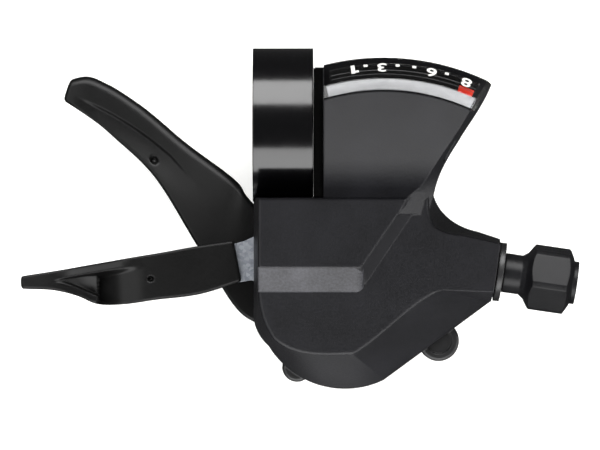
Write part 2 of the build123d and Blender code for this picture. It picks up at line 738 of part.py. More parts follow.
makers = [
    bracket, clamp_bolt, upper_cover, cover_screws, display_lens, dial_strip, indicator_needle, indicator_pin,
    main_axle, axle_clip, lever_bush, axle_washer, axle_nut, lever_spring, trigger_spring, ratchet_wheel,
    cable_spool, trigger_core, trigger_grip, trigger_pin, hold_pawl, pawl_pin, lever_core, thumb_lever,
    feed_pin, feed_pawl, cable_adjuster,
]
os.makedirs("parts", exist_ok=True)
for maker in makers:
    solid = maker()
    print(maker.__name__, len(solid.solids()), round(solid.volume))
    export_step(solid, f"parts/{maker.__name__}.step")
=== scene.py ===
import math
import bpy
import numpy as np
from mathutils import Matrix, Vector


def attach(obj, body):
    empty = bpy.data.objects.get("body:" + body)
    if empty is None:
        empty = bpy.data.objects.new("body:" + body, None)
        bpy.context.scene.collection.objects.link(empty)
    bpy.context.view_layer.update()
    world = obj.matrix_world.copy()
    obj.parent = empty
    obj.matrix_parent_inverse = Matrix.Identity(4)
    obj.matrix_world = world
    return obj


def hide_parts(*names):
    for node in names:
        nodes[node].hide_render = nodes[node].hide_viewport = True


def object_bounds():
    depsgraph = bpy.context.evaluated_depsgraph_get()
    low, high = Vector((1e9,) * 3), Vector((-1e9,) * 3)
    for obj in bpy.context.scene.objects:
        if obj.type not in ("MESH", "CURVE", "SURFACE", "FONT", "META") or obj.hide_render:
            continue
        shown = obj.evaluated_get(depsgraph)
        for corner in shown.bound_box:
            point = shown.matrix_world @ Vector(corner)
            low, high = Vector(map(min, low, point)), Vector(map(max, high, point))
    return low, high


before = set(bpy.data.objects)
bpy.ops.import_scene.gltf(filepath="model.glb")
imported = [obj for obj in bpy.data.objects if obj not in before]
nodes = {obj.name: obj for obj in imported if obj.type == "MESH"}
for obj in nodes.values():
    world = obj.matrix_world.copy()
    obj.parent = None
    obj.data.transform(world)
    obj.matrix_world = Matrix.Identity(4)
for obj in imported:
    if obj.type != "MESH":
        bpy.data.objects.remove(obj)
cadBox = [list(corner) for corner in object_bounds()]
scene = bpy.context.scene
mm = 0.001
print("frame loaded:", len(nodes), "nodes")


# sRGB hex to the linear colour that the shaders take
def hexColour(code):
    srgb = np.array([int(code[i:i + 2], 16) for i in (1, 3, 5)]) / 255
    linear = np.where(srgb <= 0.04045, srgb / 12.92, ((srgb + 0.055) / 1.055) ** 2.4)
    return (*linear.tolist(), 1.0)


# adds one node: properties by name, values for its inputs, links into its inputs
def addNode(tree, kind, values=None, links=None, **properties):
    node = tree.nodes.new(kind)
    for name, value in properties.items():
        setattr(node, name, value)
    for key, value in (values or {}).items():
        node.inputs[key].default_value = value
    for key, socket in (links or {}).items():
        tree.links.new(socket, node.inputs[key])
    return node


# an empty material, its node tree, and the place on the piece that its patterns are drawn from
def newMaterial(name):
    material = bpy.data.materials.new(name)
    material.use_nodes = True
    tree = material.node_tree
    tree.nodes.clear()
    return material, tree, addNode(tree, "ShaderNodeTexCoord").outputs["Object"]


def closeMaterial(tree, shader):
    addNode(tree, "ShaderNodeOutputMaterial", links={"Surface": shader.outputs[0]})


# texture scale that gives features of this many millimetres
def perMetre(sizeInMm):
    return 1 / (sizeInMm * mm)


def noise(tree, place, sizeInMm, detail):
    values = {"Scale": perMetre(sizeInMm), "Detail": detail}
    return addNode(tree, "ShaderNodeTexNoise", values, {"Vector": place}).outputs[0]


# goes from one end to the other while the value goes through its range
def spread(tree, value, ends, over=(0.0, 1.0)):
    values = {"From Min": over[0], "From Max": over[1], "To Min": ends[0], "To Max": ends[1]}
    return addNode(tree, "ShaderNodeMapRange", values, {"Value": value}).outputs[0]


# goes from one sRGB hex colour to the other while the share goes from 0 to 1
def blend(tree, share, first, last):
    values = {6: hexColour(first), 7: hexColour(last)}
    return addNode(tree, "ShaderNodeMix", values, {0: share}, data_type="RGBA").outputs[2]


# surface direction with the edges rounded off
def roundedEdges(tree, radiusInMm, samples):
    return addNode(tree, "ShaderNodeBevel", {"Radius": radiusInMm * mm}, samples=samples).outputs[0]


def dress(material, *names):
    for name in names:
        slots = nodes[name].data.materials
        slots.clear()
        slots.append(material)


# one noise keeps mostly to the first range, and the sum of two to the second
noiseRange = (0.3, 0.7)
sumRange = (0.7, 1.3)
edgeSamples = 6
steelEdgeSamples = 4

# Glass-filled nylon, moulded in a spark-eroded die: dull charcoal with a fine even grain, which breaks the
# highlight up, and edges that the die leaves a little round. The grain is drawn coarser than the real one, so
# that it shows.
grainStrength = 0.6
coverLook = {"dark": "#121215", "light": "#1c1c20", "grainMm": 0.34, "patchMm": 9.0, "roughness": (0.4, 0.52),
             "grainDepthMm": 0.035, "edgeMm": 0.45, "ior": 1.53}
# The same nylon from a smoother die: the levers and the adjuster are satin and darker, with hardly any grain.
leverLook = {"dark": "#060606", "light": "#0e0e0e", "grainMm": 0.28, "patchMm": 12.0,
             "roughness": (0.31, 0.42), "grainDepthMm": 0.006, "edgeMm": 0.5, "ior": 1.37}
adjusterLook = {"dark": "#0a0a0c", "light": "#151517", "grainMm": 0.3, "patchMm": 6.0,
                "roughness": (0.3, 0.44), "grainDepthMm": 0.008, "edgeMm": 0.4, "ior": 1.38}
# The plate's slanted band is eroded coarser, and its paler grey is painted light: a lighter copy of the cover
# nylon that stands in for the band lit by the near lamp.
litBandLook = {"dark": "#1e1e21", "light": "#47474c", "grainMm": 0.5, "patchMm": 9.0, "roughness": (0.42, 0.52),
            "grainDepthMm": 0.05, "edgeMm": 0.4, "ior": 1.53}


def grainedNylon(name, look):
    material, tree, place = newMaterial(name)
    grain = noise(tree, place, look["grainMm"], detail=3.0)
    patch = noise(tree, place, look["patchMm"], detail=2.0)
    mottle = addNode(tree, "ShaderNodeMath", links={0: grain, 1: patch}, operation="ADD").outputs[0]
    colour = blend(tree, spread(tree, mottle, (0.0, 1.0), sumRange), look["dark"], look["light"])
    gloss = spread(tree, grain, look["roughness"], noiseRange)
    edge = roundedEdges(tree, look["edgeMm"], edgeSamples)
    relief = addNode(tree, "ShaderNodeBump",
                     {"Strength": grainStrength, "Distance": look["grainDepthMm"] * mm},
                     {"Height": grain, "Normal": edge})
    shader = addNode(tree, "ShaderNodeBsdfPrincipled", {"IOR": look["ior"]},
                     {"Base Color": colour, "Roughness": gloss, "Normal": relief.outputs[0]})
    closeMaterial(tree, shader)
    return material


# Die-cast aluminium under black stove enamel: the clamp ring is polished first, so it is deep gloss with a
# faint orange peel that makes long highlights waver, and the base behind it keeps the casting's dull grain.
paintLook = {"gloss": "#030304", "dull": "#0f0f10", "peelMm": 2.2, "peelDepthMm": 0.012, "peelStrength": 0.4,
             "ringRoughness": (0.14, 0.2), "baseRoughness": (0.34, 0.46), "ringFromMm": (-17.0, -15.6),
             "edgeMm": 0.5, "ior": 1.7}


def enamelledCasting():
    material, tree, place = newMaterial("enamelledDieCasting")
    peel = noise(tree, place, paintLook["peelMm"], detail=1.0)
    axes = addNode(tree, "ShaderNodeSeparateXYZ", links={0: place})
    ring = spread(tree, axes.outputs[1], (0.0, 1.0), [border * mm for border in paintLook["ringFromMm"]])
    dull = spread(tree, peel, paintLook["baseRoughness"])
    shiny = spread(tree, peel, paintLook["ringRoughness"])
    gloss = addNode(tree, "ShaderNodeMix", links={0: ring, 2: dull, 3: shiny}).outputs[0]
    colour = blend(tree, ring, paintLook["dull"], paintLook["gloss"])
    edge = roundedEdges(tree, paintLook["edgeMm"], edgeSamples)
    relief = addNode(tree, "ShaderNodeBump",
                     {"Strength": paintLook["peelStrength"], "Distance": paintLook["peelDepthMm"] * mm},
                     {"Height": peel, "Normal": edge})
    shader = addNode(tree, "ShaderNodeBsdfPrincipled", {"IOR": paintLook["ior"]},
                     {"Base Color": colour, "Roughness": gloss, "Normal": relief.outputs[0]})
    closeMaterial(tree, shader)
    return material


# Steel, zinc plated and passivated: pale blue-grey, mottled by the crystal of the plating, with a chalky
# bloom that hides part of the metal. It is roughest where it is stained.
zincLook = {"pale": "#b9bdc4", "stain": "#5c616a", "crystalMm": 0.7, "stainMm": 1.2, "stainShare": 0.6,
            "roughness": (0.5, 0.3), "bare": 0.55, "edgeMm": 0.2}


def zincPlatedSteel():
    material, tree, place = newMaterial("zincPlatedSteel")
    crystal = addNode(tree, "ShaderNodeTexVoronoi", {"Scale": perMetre(zincLook["crystalMm"])},
                      {"Vector": place})
    stain = noise(tree, place, zincLook["stainMm"], detail=5.0)
    cell = addNode(tree, "ShaderNodeSeparateColor", links={0: crystal.outputs["Color"]})
    mixed = addNode(tree, "ShaderNodeMix", {0: zincLook["stainShare"]}, {2: cell.outputs[0], 3: stain})
    mottle = mixed.outputs[0]
    colour = blend(tree, mottle, zincLook["stain"], zincLook["pale"])
    gloss = spread(tree, mottle, zincLook["roughness"])
    edge = roundedEdges(tree, zincLook["edgeMm"], steelEdgeSamples)
    shader = addNode(tree, "ShaderNodeBsdfPrincipled", {"Metallic": zincLook["bare"]},
                     {"Base Color": colour, "Roughness": gloss, "Normal": edge})
    closeMaterial(tree, shader)
    return material


# Steel, black oxide finish or bare drawn wire: a thin dark or grey skin, with a cloudy sheen.
drawnLook = {"roughness": (0.28, 0.5), "edgeMm": 0.2}


def drawnSteel(name, dark, light, cloudMm):
    material, tree, place = newMaterial(name)
    cloud = noise(tree, place, cloudMm, detail=4.0)
    colour = blend(tree, cloud, dark, light)
    gloss = spread(tree, cloud, drawnLook["roughness"])
    edge = roundedEdges(tree, drawnLook["edgeMm"], steelEdgeSamples)
    shader = addNode(tree, "ShaderNodeBsdfPrincipled", {"Metallic": 1.0},
                     {"Base Color": colour, "Roughness": gloss, "Normal": edge})
    closeMaterial(tree, shader)
    return material


# Acetal, moulded and left natural or coloured through: waxy, with a soft wide highlight and faint flow marks.
acetalLook = {"flowMm": 3.0, "roughness": (0.3, 0.42), "ior": 1.48}


def mouldedAcetal(name, dark, light):
    material, tree, place = newMaterial(name)
    flow = noise(tree, place, acetalLook["flowMm"], detail=2.0)
    colour = blend(tree, flow, dark, light)
    gloss = spread(tree, flow, acetalLook["roughness"])
    shader = addNode(tree, "ShaderNodeBsdfPrincipled", {"IOR": acetalLook["ior"]},
                     {"Base Color": colour, "Roughness": gloss})
    closeMaterial(tree, shader)
    return material


# Polycarbonate, moulded clear: water-white, with hairline handling marks that soften the reflections a
# little. Rays from the lamps pass straight through, as light does through a thin window.
lensLook = {"tint": "#f6f6f4", "hazeMm": 1.5, "roughness": (0.02, 0.09), "ior": 1.58}


def clearPolycarbonate():
    material, tree, place = newMaterial("clearPolycarbonate")
    haze = noise(tree, place, lensLook["hazeMm"], detail=4.0)
    gloss = spread(tree, haze, lensLook["roughness"])
    shader = addNode(tree, "ShaderNodeBsdfPrincipled",
                     {"Base Color": hexColour(lensLook["tint"]), "IOR": lensLook["ior"],
                      "Transmission Weight": 1.0},
                     {"Roughness": gloss})
    through = addNode(tree, "ShaderNodeBsdfTransparent")
    ray = addNode(tree, "ShaderNodeLightPath")
    window = addNode(tree, "ShaderNodeMixShader", links={
        0: ray.outputs["Is Shadow Ray"], 1: shader.outputs[0], 2: through.outputs[0]})
    closeMaterial(tree, window)
    return material


# Screen ink, printed on the film behind the window: dense and even, with a slight dust of specks.
inkLook = {"dustMm": 0.4, "dustRange": (0.55, 0.9), "ior": 1.5}


def printedFilm(name, ink, speck, roughness):
    material, tree, place = newMaterial(name)
    dust = noise(tree, place, inkLook["dustMm"], detail=2.0)
    colour = blend(tree, spread(tree, dust, (0.0, 1.0), inkLook["dustRange"]), ink, speck)
    shader = addNode(tree, "ShaderNodeBsdfPrincipled", {"Roughness": roughness, "IOR": inkLook["ior"]},
                     {"Base Color": colour})
    closeMaterial(tree, shader)
    return material


# A pale grey coat, half clear and cloudy, on the underside of the window's bevel, which makes the bevel look
# light grey.
paleBevelLook = {"thin": "#7d7e83", "thick": "#c9cace", "cloudMm": 1.4, "roughness": 0.6, "ior": 1.49,
             "hides": 0.75}


def paleBevelCoat():
    material, tree, place = newMaterial("paleBevelCoat")
    cloud = noise(tree, place, paleBevelLook["cloudMm"], detail=3.0)
    colour = blend(tree, cloud, paleBevelLook["thin"], paleBevelLook["thick"])
    shader = addNode(tree, "ShaderNodeBsdfPrincipled",
                     {"Roughness": paleBevelLook["roughness"], "IOR": paleBevelLook["ior"],
                      "Alpha": paleBevelLook["hides"]},
                     {"Base Color": colour})
    closeMaterial(tree, shader)
    return material


# Painted shade: a dead black sheet with a bump of round cells, laid where the gap between the clamp ring and
# the display lies in shadow.
shadeSheetLook = {"dark": "#010101", "light": "#030303", "cellMm": 0.5, "cellDepthMm": 0.1, "cellStrength": 0.5,
            "roughness": 0.95, "shine": 0.05}


def paintedShadeSheet():
    material, tree, place = newMaterial("paintedGapShade")
    cells = addNode(tree, "ShaderNodeTexVoronoi", {"Scale": perMetre(shadeSheetLook["cellMm"])}, {"Vector": place})
    colour = blend(tree, cells.outputs["Distance"], shadeSheetLook["dark"], shadeSheetLook["light"])
    pores = addNode(tree, "ShaderNodeBump",
                    {"Strength": shadeSheetLook["cellStrength"], "Distance": shadeSheetLook["cellDepthMm"] * mm},
                    {"Height": cells.outputs["Distance"]})
    shader = addNode(tree, "ShaderNodeBsdfPrincipled",
                     {"Roughness": shadeSheetLook["roughness"], "Specular IOR Level": shadeSheetLook["shine"]},
                     {"Base Color": colour, "Normal": pores.outputs[0]})
    closeMaterial(tree, shader)
    return material


coverNylon = grainedNylon("sparkErodedNylon", coverLook)
leverNylon = grainedNylon("satinLeverNylon", leverLook)
adjusterNylon = grainedNylon("satinAdjusterNylon", adjusterLook)
# painted light: a paler copy of the cover nylon for the lit band
litBandNylon = grainedNylon("paintedLitBandNylon", litBandLook)
enamel = enamelledCasting()
zincSteel = zincPlatedSteel()
blackSteel = drawnSteel("blackOxideSteel", "#1b1b1d", "#3a3a3c", cloudMm=0.8)
springSteel = drawnSteel("drawnSpringWire", "#77777a", "#b4b4b6", cloudMm=0.5)
spoolAcetal = mouldedAcetal("naturalAcetal", "#d8d6cc", "#eceae2")
pointerAcetal = mouldedAcetal("orangeRedAcetal", "#d92412", "#ea3a1c")
needleAcetal = mouldedAcetal("blackAcetal", "#060607", "#0d0d0e")
lensClear = clearPolycarbonate()
filmBlack = printedFilm("blackPrintedFilm", "#020203", "#08080a", roughness=0.3)
paleBevelMaterial = paleBevelCoat()
# painted shade: dead black for the shaded gap beside the clamp ring
gapShadeBlack = paintedShadeSheet()
inkWhite = printedFilm("whiteScreenInk", "#f4f4f2", "#dcdcda", roughness=0.5)
inkGrey = printedFilm("greyScreenInk", "#4c4c4e", "#6a6a6c", roughness=0.5)

dress(coverNylon, "upper_cover")
dress(leverNylon, "thumb_lever", "trigger_grip")
dress(adjusterNylon, "cable_adjuster")
dress(enamel, "bracket")
dress(zincSteel, "trigger_core", "lever_core", "feed_pawl", "hold_pawl", "ratchet_wheel")
dress(blackSteel, "clamp_bolt", "cover_screws", "main_axle", "axle_clip", "axle_washer", "axle_nut",
      "lever_bush", "trigger_pin", "pawl_pin", "feed_pin", "indicator_pin")
dress(springSteel, "lever_spring", "trigger_spring")
dress(spoolAcetal, "cable_spool")
dress(needleAcetal, "indicator_needle")
dress(lensClear, "display_lens")
dress(filmBlack, "dial_strip")
print("materials set")


# makes a piece of a mesh: it rides on the body and fills the material slot
def addPiece(name, mesh, material, body):
    mesh.materials.clear()
    mesh.materials.append(material)
    piece = bpy.data.objects.new(name, mesh)
    scene.collection.objects.link(piece)
    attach(piece, body)
    return piece


# puts a grid of points into a mesh: rows run along the piece, columns close round it, and each end
# row is fanned to its middle
def closedTube(name, grid, material, body):
    rows, columns = grid.shape[:2]
    points = np.concatenate([grid.reshape(-1, 3), grid[0].mean(0)[None], grid[-1].mean(0)[None]])
    index = np.arange(rows * columns).reshape(rows, columns)
    turn = np.roll(index, -1, axis=1)
    quads = np.stack([index[:-1], turn[:-1], turn[1:], index[1:]], -1).reshape(-1, 4)
    first = np.stack([turn[0], index[0], np.full(columns, rows * columns)], -1)
    last = np.stack([index[-1], turn[-1], np.full(columns, rows * columns + 1)], -1)
    corners = np.concatenate([np.concatenate([quads[:, :3], quads[:, [0, 2, 3]]]), first, last])
    a, b, c = points[corners].transpose(1, 0, 2)
    volume = np.einsum("ij,ij->", a, np.cross(b, c))
    faces = [*quads.tolist(), *first.tolist(), *last.tolist()]
    if volume < 0:
        faces = [face[::-1] for face in faces]
    mesh = bpy.data.meshes.new(name)
    mesh.from_pydata((points * mm).tolist(), [], faces)
    mesh.polygons.foreach_set("use_smooth", np.ones(len(faces), bool))
    return addPiece(name, mesh, material, body)


# smooth curve through stations: cubic pieces whose slope at a station is that of the chord between its
# neighbours. Rows are even in between and close up on a quarter circle at each end, and inset is how far
# that circle has drawn the section in.
def throughStations(stations, rows, endRound):
    endRows = 9
    table = np.array(stations, float)
    chord = np.linalg.norm(np.diff(table[:, :4], axis=0), axis=1)
    knots = np.concatenate([[0], np.cumsum(chord)])
    slope = np.gradient(table, knots, axis=0)
    start = endRound * (1 - np.cos(np.linspace(0, np.pi / 2, endRows)))
    between = np.linspace(endRound, knots[-1] - endRound, rows)[1:-1]
    at = np.concatenate([start, between, knots[-1] - start[::-1]])
    left = np.clip(np.searchsorted(knots, at, "right") - 1, 0, len(knots) - 2)
    width = (knots[left + 1] - knots[left])[:, None]
    t = ((at - knots[left])[:, None]) / width
    a = table[left]
    b = table[left + 1]
    curve = (a * (1 + 2 * t) * (1 - t) ** 2 + b * t * t * (3 - 2 * t)
             + width * (slope[left] * t * (1 - t) ** 2 + slope[left + 1] * t * t * (t - 1)))
    fromEnd = np.clip(np.minimum(at, knots[-1] - at) / endRound, 0, 1)
    return curve, endRound * (1 - np.sqrt(1 - (1 - fromEnd) ** 2))


def smoothStep(low, high, value):
    t = np.clip((value - low) / (high - low), 0, 1)
    return t * t * (3 - 2 * t)


# Plate slope: the slanted band from the plate's front edge down to the lower face. A point at share v lies v
# of the way forward and v of the way down, and past rollFromX the band rolls down by a parabola. The
# underside follows the cover, sunk a little below its surface.
plateSlope = {"fromX": -4.98, "toX": 16.05, "backY": -28.4, "frontY": -33.5, "topZ": 15.02, "lowZ": 12.02,
              "coverSlope": 0.833, "rollFromX": 14.2, "roll": 0.55, "sunk": 0.3, "rows": 60, "across": 31}
x = np.linspace(plateSlope["fromX"], plateSlope["toX"], plateSlope["rows"])[:, None]
share = np.linspace(0, 1, plateSlope["across"])[None]
topY = plateSlope["backY"] + (plateSlope["frontY"] - plateSlope["backY"]) * share
topZ = plateSlope["topZ"] + (plateSlope["lowZ"] - plateSlope["topZ"]) * share
roll = np.clip((x - plateSlope["rollFromX"]) / (plateSlope["toX"] - plateSlope["rollFromX"]), 0, 1) ** 2
topZ = topZ - plateSlope["roll"] * roll
coverZ = plateSlope["topZ"] - plateSlope["coverSlope"] * (plateSlope["backY"] - topY)
underZ = np.minimum(np.maximum(coverZ, plateSlope["lowZ"]), topZ) - plateSlope["sunk"]
y = np.concatenate([topY, topY[:, ::-1]], 1)
z = np.concatenate([topZ, underZ[:, ::-1]], 1)
closedTube("plateSlope", np.stack(np.broadcast_arrays(x, y, z), -1), litBandNylon, "base")

# Gap shade strip: a dead black strip on the cover's shoulder between the clamp ring and the display, painted
# shade where that gap lies in shadow. It follows the dish.
gapShadeStrip = {"fromX": 6.06, "toX": 7.95, "thick": 0.5, "shoulderZ": 11.55, "rows": 60,
           "dishY": (-14.6, -12.4, -9.5, -5.0, 0.0, 5.0, 10.8),
           "dishRise": (2.0, 1.0, 1.1, 2.5, 4.1, 5.7, 7.3)}
y = np.linspace(gapShadeStrip["dishY"][0], gapShadeStrip["dishY"][-1], gapShadeStrip["rows"])[:, None]
z = gapShadeStrip["shoulderZ"] + np.interp(y, gapShadeStrip["dishY"], gapShadeStrip["dishRise"])
x = np.array([gapShadeStrip["fromX"], gapShadeStrip["toX"], gapShadeStrip["toX"], gapShadeStrip["fromX"]])[None]
level = np.array([0, 0, -1, -1])[None] * gapShadeStrip["thick"]
closedTube("gapShadeStrip", np.stack(np.broadcast_arrays(x, y, z + level), -1), gapShadeBlack, "base")
print("cover trimmed")


# Section of a lever, once round: flat is the place along the top or bottom from -1 to 1, level the place up a
# side, and turnX, turnZ the way out from a corner's centre.
def leverSection(across):
    top = np.linspace(1, -1, across)
    side = np.linspace(1, -1, 7)
    bottom = np.linspace(-1, 1, 13)
    bend = np.radians([15, 30, 45, 60, 75])
    corner = np.ones_like(bend)
    up = np.ones_like(top)
    out = np.ones_like(side)
    down = np.ones_like(bottom)
    flat = np.concatenate([top, -corner, -out, -corner, bottom, corner, out, corner])
    level = np.concatenate([up, corner, side, -corner, -down, -corner, -side, corner])
    sine = np.sin(bend)
    cosine = np.cos(bend)
    turnX = np.concatenate([0 * up, -sine, -out, -cosine, 0 * down, sine, out, cosine])
    turnZ = np.concatenate([up, cosine, 0 * out, -sine, -down, -cosine, 0 * out, sine])
    return flat, level, turnX, turnZ


# one row per step: a box with rounded corners between the two edges seen from above, which draws in at the
# ends. Returns the points and how much of each faces up, for the relief.
def leverGrid(lever):
    roundShare = 0.95
    table, inset = throughStations(lever["stations"], lever["rows"], lever["endRound"])
    flat, level, turnX, turnZ = leverSection(lever["across"])
    high = table[:, 0:2]
    low = table[:, 2:4]
    span = np.linalg.norm(high - low, axis=1)
    halfWidth = (span / 2 - inset)[:, None]
    halfHeight = ((table[:, 4] - table[:, 5]) / 2 - inset)[:, None]
    most = roundShare * np.minimum(halfWidth, halfHeight)
    highRound = np.minimum(lever["highRound"], most)
    lowRound = np.minimum(lever["lowRound"], most)
    corner = lowRound + (highRound - lowRound) * (flat + 1) / 2
    across = (lowRound - highRound) / 2 + flat * (halfWidth - (lowRound + highRound) / 2) + turnX * corner
    upward = level * (halfHeight - corner) + turnZ * corner
    seen = (high + low)[:, None] / 2 + across[:, :, None] * ((high - low) / span[:, None])[:, None]
    height = (table[:, 4] + table[:, 5])[:, None] / 2 + upward
    return np.concatenate([seen, height[:, :, None]], -1), np.clip(turnZ, 0, 1)[None]


# Thumb lever: a crowned pad above a ridge line, a groove below it that fades towards the hub, and a flat web.
thumbLever = {
    # high edge x y, low edge x y, top z, bottom z
    "stations": [
        (21.0, -33.5, 20.6, -37.0, -8.9, -12.1),
        (18.6, -28.9, 17.4, -41.8, -8.8, -12.2),
        (12.0, -26.4, 10.0, -43.6, -8.7, -12.3),
        (4.0, -24.6, 1.0, -41.8, -8.6, -12.4),
        (-2.4, -19.6, -5.4, -40.0, -8.4, -12.5),
        (-6.4, -15.4, -8.7, -37.9, -8.3, -12.6),
        (-9.3, -11.4, -16.8, -25.4, -8.9, -13.2),
        (-20.4, -2.9, -26.9, -9.5, -11.4, -15.8),
        (-29.6, 4.7, -33.9, -2.8, -12.4, -17.4),
        (-36.0, 8.7, -38.1, 0.8, -12.7, -18.1),
        (-40.2, 10.2, -42.2, 3.6, -13.0, -18.4),
        (-43.5, 9.6, -44.9, 5.3, -13.4, -18.2),
    ],
    "rows": 230, "across": 61, "endRound": 1.0, "highRound": 1.7, "lowRound": 0.7,
    "ridgeX": (-46.6, -43.1, -36.0, -32.5, -29.6, -26.8, -22.9, -20.1, -10.1),
    "ridgeY": (8.7, 7.0, 3.5, 1.5, -0.4, -2.4, -5.6, -8.7, -20.0),
    "ridgeFrom": (-43.0, -37.5), "ridgeTo": (-26.0, -16.5), "ridgeSquare": 0.8,
    "groove": 0.58, "grooveWidth": 0.75, "webWidth": 6.0, "crown": 0.35, "crownWidth": 5.0,
    "holeAt": (-26.3, -6.9), "holeRadius": 0.7, "holeDepth": 1.2,
}
holeLip = 0.15


# a round pit: full depth inside the radius, with a smooth lip of this share of the radius in and out
def pitRelief(x, y, lever):
    away = np.hypot(x - lever["holeAt"][0], y - lever["holeAt"][1])
    radius = lever["holeRadius"]
    return lever["holeDepth"] * smoothStep(radius * (1 + holeLip), radius * (1 - holeLip), away)


# a smooth drop below the ridge that the web climbs back from over webWidth, and a parabola above the ridge as
# the pad's crown. ridgeSquare turns a distance along y into about the distance square to the slanting ridge.
def thumbRelief(x, y):
    lever = thumbLever
    below = (np.interp(x, lever["ridgeX"], lever["ridgeY"]) - y) * lever["ridgeSquare"]
    fade = smoothStep(*lever["ridgeFrom"], x) * smoothStep(lever["ridgeTo"][1], lever["ridgeTo"][0], x)
    width = lever["grooveWidth"]
    back = smoothStep(width, width + lever["webWidth"], below)
    groove = lever["groove"] * (smoothStep(0, width, below) - back)
    crown = lever["crown"] * np.clip(-below / lever["crownWidth"], 0, 1) ** 2
    return fade * (groove + crown) + pitRelief(x, y, lever)


# Finger trigger: a flat plate near the housing, bent down to a blade with a rim along its far edge and a
# pocket for the fingertip that deepens towards the plate.
fingerTrigger = {
    # high edge x y, low edge x y, top z, bottom z
    "stations": [
        (-9.9, -23.3, -8.3, -31.4, 1.2, -4.2),
        (-17.5, -24.4, -16.7, -34.0, 1.2, -4.2),
        (-26.0, -25.9, -26.6, -35.3, 1.1, -4.3),
        (-28.6, -26.3, -30.5, -35.9, 1.0, -4.4),
        (-31.5, -26.8, -35.0, -36.2, 1.1, -4.8),
        (-36.0, -27.6, -38.0, -35.8, 1.6, -6.0),
        (-40.0, -28.3, -40.9, -34.5, 2.2, -7.2),
        (-44.5, -29.1, -44.9, -33.4, 2.5, -8.0),
        (-52.7, -30.4, -52.6, -32.9, 2.0, -6.6),
    ],
    "rows": 210, "across": 61, "endRound": 0.7, "highRound": 0.35, "lowRound": 0.6,
    "edgeAt": (-28.6, -26.3), "edgeSlope": 0.172, "rimWidth": 1.7, "rimTilt": 0.3, "rimFrom": (-47.0, -42.0),
    "rimTo": (-33.0, -30.4), "pocketY": -30.4, "pocketFrom": (-47.0, -38.5), "pocketEnd": -37.3,
    "pocketDepth": 2.0, "pocketTilt": 0.42, "leastWall": 0.5, "creaseX": (-47.0, -44.0, -42.3, -40.0, -37.4),
    "creaseY": (-31.4, -31.6, -32.1, -33.1, -34.2), "creaseHalf": 0.2, "lowRim": 1.1,
    "bendAt": -33.0, "bendRound": 2.6, "bendSlope": 1.05, "bendFrom": (-5.5, -1.5), "crestBlend": 1.3,
    "holeAt": (-26.6, -30.9), "holeRadius": 0.55, "holeDepth": 1.2,
}


# the rim falls away to its edge at rimTilt. Inside it the blade drops by pocketDepth, slopes on at pocketTilt
# and steps up to the low rim at the crease. Past pocketEnd a hyperbola climbs to the plate.
def triggerRelief(x, y):
    lever = fingerTrigger
    edge = lever["edgeAt"][1] + lever["edgeSlope"] * (x - lever["edgeAt"][0])
    fade = smoothStep(*lever["rimFrom"], x) * smoothStep(lever["rimTo"][1], lever["rimTo"][0], x)
    crest = edge - lever["rimWidth"]
    rim = lever["rimTilt"] * np.clip(y - crest, 0, None) * fade
    grow = smoothStep(*lever["pocketFrom"], x)
    wall = smoothStep(0, 1, (crest - y) / np.maximum(crest - lever["pocketY"], lever["leastWall"]))
    slant = lever["pocketTilt"] * np.clip(lever["pocketY"] - y, 0, None)
    floor = grow * (lever["pocketDepth"] * wall + slant)
    crease = np.interp(x, lever["creaseX"], lever["creaseY"])
    step = smoothStep(crease + lever["creaseHalf"], crease - lever["creaseHalf"], y)
    blade = floor + (grow * lever["lowRim"] - floor) * step
    past = lever["bendAt"] - x
    climb = lever["bendSlope"] * (np.hypot(past, lever["bendRound"]) + past) / 2
    valley = climb * smoothStep(*lever["bendFrom"], past) * smoothStep(0, lever["crestBlend"], crest - y)
    return rim + np.where(x < lever["pocketEnd"], blade, valley) + pitRelief(x, y, lever)


for name, lever, relief, body, node in (
        ("thumbLeverBody", thumbLever, thumbRelief, "main_lever", "thumb_lever"),
        ("fingerTriggerBody", fingerTrigger, triggerRelief, "trigger", "trigger_grip")):
    grid, facing = leverGrid(lever)
    grid[:, :, 2] -= facing * relief(grid[:, :, 0], grid[:, :, 1])
    skin = closedTube(name, grid, leverNylon, body)
    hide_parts(node)
print("levers shaped")

# Dial numbers: the flat figures are bent round the dial centre, so that a point x to the right and y up
# in the figure lies at radius r - y and turned by x / r. They read from the rider's side. The 1 is two bars,
# each with its angle, the middle of its height and its size.
dial = {"centre": (19.9, -35.1), "radius": 46.84, "height": 1.55, "stretch": 2.0, "printZ": 18.47,
        "thick": 0.05, "figureShare": 0.7, "embolden": 0.048, "figures": {"8": 20.75, "6": 11.85, "3": -0.45},
        "dashes": (15.55, 7.45, 3.4, -4.4), "dashSize": (0.78, 0.46), "dashMiddle": 0.3,
        "one": {"Stem": (-7.55, 0.8, (0.78, 1.6)), "Flag": (-6.65, 1.25, (0.8, 0.42))}}


# radius r - y and angle from straight up, turned by x / r: the polar place of a flat point, in millimetres
def roundDial(flat, angle):
    radius = dial["radius"] - flat[..., 1]
    turn = np.radians(angle) - flat[..., 0] / dial["radius"]
    return np.stack([dial["centre"][0] + radius * np.sin(turn), dial["centre"][1] + radius * np.cos(turn),
                     dial["printZ"] + flat[..., 2]], -1)


def figureMesh(figure, angle):
    text = bpy.data.curves.new("figure", "FONT")
    text.body = figure
    text.align_x = "CENTER"
    text.size = dial["height"] / dial["figureShare"]
    text.offset = dial["embolden"]
    text.extrude = dial["thick"] / 2
    holder = bpy.data.objects.new("figure", text)
    scene.collection.objects.link(holder)
    bpy.context.view_layer.update()
    mesh = bpy.data.meshes.new_from_object(holder)
    bpy.data.objects.remove(holder)
    flat = np.empty(len(mesh.vertices) * 3)
    mesh.vertices.foreach_get("co", flat)
    flat = flat.reshape(-1, 3) * (dial["stretch"], 1, 1)
    mesh.vertices.foreach_set("co", (roundDial(flat, angle) * mm).ravel())
    mesh.update()
    return mesh


